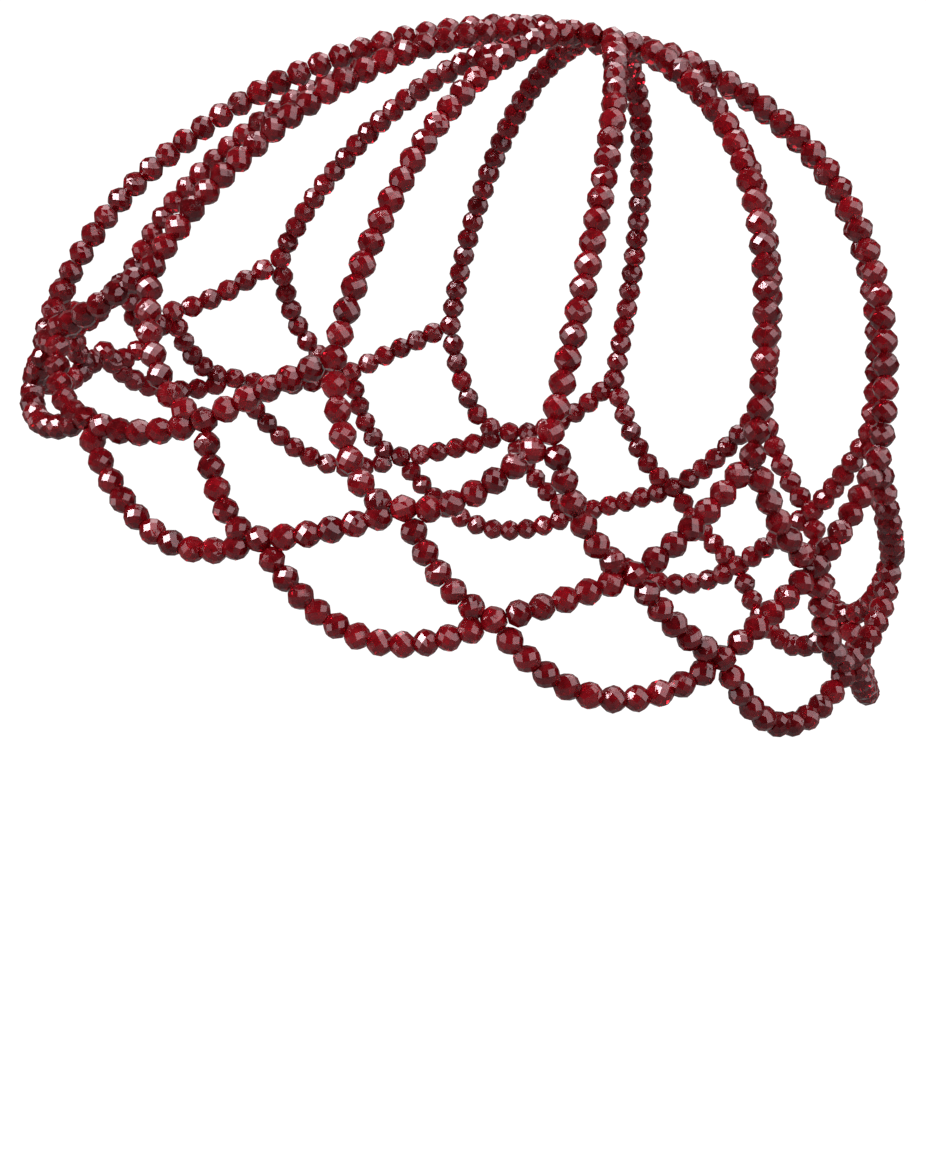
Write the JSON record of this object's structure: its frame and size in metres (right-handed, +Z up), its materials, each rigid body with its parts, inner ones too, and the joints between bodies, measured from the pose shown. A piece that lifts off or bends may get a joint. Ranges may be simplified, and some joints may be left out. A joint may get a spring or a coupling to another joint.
{
  "type": "beaded head chain",
  "caption": "Cap-shaped head chain: strings of faceted dark red glass beads run from a small crown ring and cross into an open net with a scalloped hem.",
  "frame": {"origin": "the seat on the crown of the head, one bead radius under the middles of the topmost beads", "axes": "+Z up, the wearer faces -Y, +X is the wearer's left; shown as worn, laid back by 12.5 degrees"},
  "size_m": [0.1586, 0.2072, 0.158],
  "materials": {
    "bead_glass": "polished facets, deep garnet red",
    "thread": "thin twisted nylon thread, dyed to match the glass"
  },
  "bodies": {
    "root": {"crown_ring": "bead_glass", "crown_strand_01": "bead_glass", "crown_strand_02": "bead_glass", "crown_strand_03": "bead_glass", "crown_strand_04": "bead_glass", "crown_strand_05": "bead_glass", "crown_strand_06": "bead_glass", "crown_strand_07": "bead_glass", "crown_strand_08": "bead_glass", "crown_strand_09": "bead_glass", "crown_strand_10": "bead_glass", "crown_strand_11": "bead_glass", "crown_strand_12": "bead_glass", "hem_string_01": "bead_glass", "hem_string_02": "bead_glass", "hem_string_03": "bead_glass", "hem_string_04": "bead_glass", "hem_string_05": "bead_glass", "hem_string_06": "bead_glass", "hem_string_07": "bead_glass", "hem_string_08": "bead_glass", "hem_string_09": "bead_glass", "hem_string_10": "bead_glass", "hem_string_11": "bead_glass", "hem_string_12": "bead_glass", "upper_cross_01": "bead_glass", "upper_cross_02": "bead_glass", "upper_cross_03": "bead_glass", "upper_cross_04": "bead_glass", "upper_cross_05": "bead_glass", "upper_cross_06": "bead_glass", "upper_cross_07": "bead_glass", "upper_cross_08": "bead_glass", "upper_cross_09": "bead_glass", "upper_cross_10": "bead_glass", "upper_cross_11": "bead_glass", "upper_cross_12": "bead_glass", "lower_cross_01": "bead_glass", "lower_cross_02": "bead_glass", "lower_cross_03": "bead_glass", "lower_cross_04": "bead_glass", "lower_cross_05": "bead_glass", "lower_cross_06": "bead_glass", "lower_cross_07": "bead_glass", "lower_cross_08": "bead_glass", "lower_cross_09": "bead_glass", "lower_cross_10": "bead_glass", "lower_cross_11": "bead_glass", "lower_cross_12": "bead_glass"}
  },
  "joints": []
}
